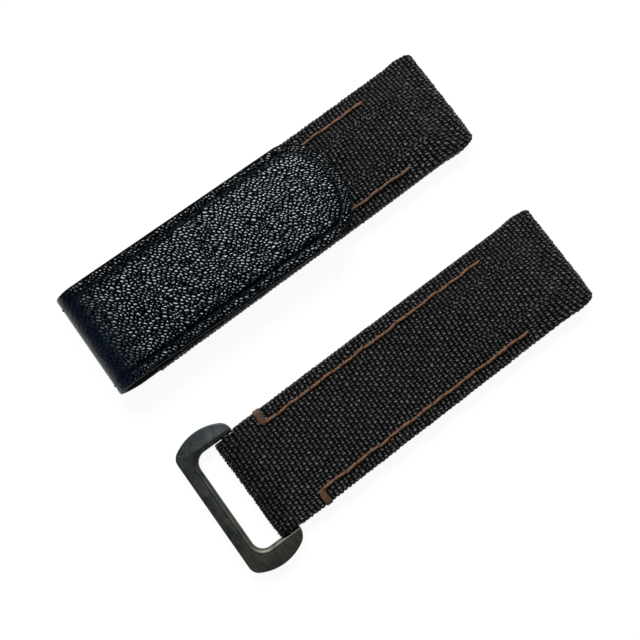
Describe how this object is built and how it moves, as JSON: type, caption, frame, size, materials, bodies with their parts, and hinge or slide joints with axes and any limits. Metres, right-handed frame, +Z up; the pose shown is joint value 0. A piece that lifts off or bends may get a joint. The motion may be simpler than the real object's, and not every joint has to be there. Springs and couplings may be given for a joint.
{
  "type": "hook and loop watch strap",
  "caption": "Padded woven watch strap laid out as its separate halves: a metal ring in a fabric loop, and a leather tongue that folds back on hook and loop tape.",
  "frame": {"origin": "centre of the pair's bounding box, on the surface that it lies on", "axes": "+X along the straps towards their lug ends, +Y from the buckle half to the tongue half, +Z up"},
  "size_m": [0.0848, 0.0646, 0.0068],
  "materials": {
    "woven_fabric": "black plain weave, matt",
    "stiffener_board": "matt board",
    "leather": "black pebbled grain, semi-gloss",
    "coated_metal": "dark grey coating over a brushed surface",
    "brown_thread": "twisted brown thread",
    "black_thread": "twisted black thread",
    "fastener_tape": "black hook and loop tape"
  },
  "bodies": {
    "root": {"buckle_cover": "woven_fabric", "buckle_core": "stiffener_board", "buckle_lug_insert": "stiffener_board", "buckle_lining": "leather", "buckle_seam_left": "brown_thread", "buckle_seam_right": "brown_thread", "buckle_tack_left": "brown_thread", "buckle_tack_right": "brown_thread", "tongue_cover": "woven_fabric", "tongue_core": "stiffener_board", "tongue_lug_insert": "stiffener_board", "tongue_lining": "leather", "tongue_seam_left": "brown_thread", "tongue_seam_right": "brown_thread", "loop_tape": "fastener_tape"},
    "ring": {"buckle_ring": "coated_metal"},
    "fold_1": {"tongue_fold_1": "leather"},
    "fold_2": {"tongue_fold_2": "leather"},
    "fold_3": {"tongue_fold_3": "leather"},
    "fold_4": {"tongue_fold_4": "leather"},
    "fold_5": {"tongue_fold_5": "leather"},
    "fold_6": {"tongue_fold_6": "leather"},
    "flap": {"flap_leather": "leather", "flap_seam": "black_thread", "hook_tape": "fastener_tape"}
  },
  "joints": [
    {"name": "ring_swivel", "type": "hinge", "parent": "root", "child": "ring", "pos_m": [-0.03209, -0.01767, 0.0017], "axis": [0.0192, 0.9998, 0], "range_deg": [-120, 120]},
    {"name": "flap_peel", "type": "hinge", "parent": "fold_6", "child": "flap", "pos_m": [-0.03799, 0.02154, 0.00635], "axis": [-0.0083, -1, 0], "range_deg": [0, 13.49]},
    {"name": "fold_bend_1", "type": "hinge", "parent": "root", "child": "fold_1", "pos_m": [-0.03799, 0.02154, 0.00035], "axis": [-0.0083, -1, 0], "range_deg": [0, 13.5]},
    {"name": "fold_bend_2", "type": "hinge", "parent": "fold_1", "child": "fold_2", "pos_m": [-0.03966, 0.02155, 0.00075], "axis": [-0.0083, -1, 0], "range_deg": [0, 28.35]},
    {"name": "fold_bend_3", "type": "hinge", "parent": "fold_2", "child": "fold_3", "pos_m": [-0.04089, 0.02156, 0.00185], "axis": [-0.0083, -1, 0], "range_deg": [0, 31.5]},
    {"name": "fold_bend_4", "type": "hinge", "parent": "fold_3", "child": "fold_4", "pos_m": [-0.04134, 0.02157, 0.00335], "axis": [-0.0083, -1, 0], "range_deg": [0, 33.32]},
    {"name": "fold_bend_5", "type": "hinge", "parent": "fold_4", "child": "fold_5", "pos_m": [-0.04089, 0.02156, 0.00485], "axis": [-0.0083, -1, 0], "range_deg": [0, 31.5]},
    {"name": "fold_bend_6", "type": "hinge", "parent": "fold_5", "child": "fold_6", "pos_m": [-0.03966, 0.02155, 0.00595], "axis": [-0.0083, -1, 0], "range_deg": [0, 28.35]}
  ],
  "couplings": [
    {"joint": "fold_bend_1", "follows": "flap_peel", "ratio": 1},
    {"joint": "fold_bend_2", "follows": "flap_peel", "ratio": 2.1012},
    {"joint": "fold_bend_3", "follows": "flap_peel", "ratio": 2.3343},
    {"joint": "fold_bend_4", "follows": "flap_peel", "ratio": 2.469},
    {"joint": "fold_bend_5", "follows": "flap_peel", "ratio": 2.3343},
    {"joint": "fold_bend_6", "follows": "flap_peel", "ratio": 2.1012}
  ]
}
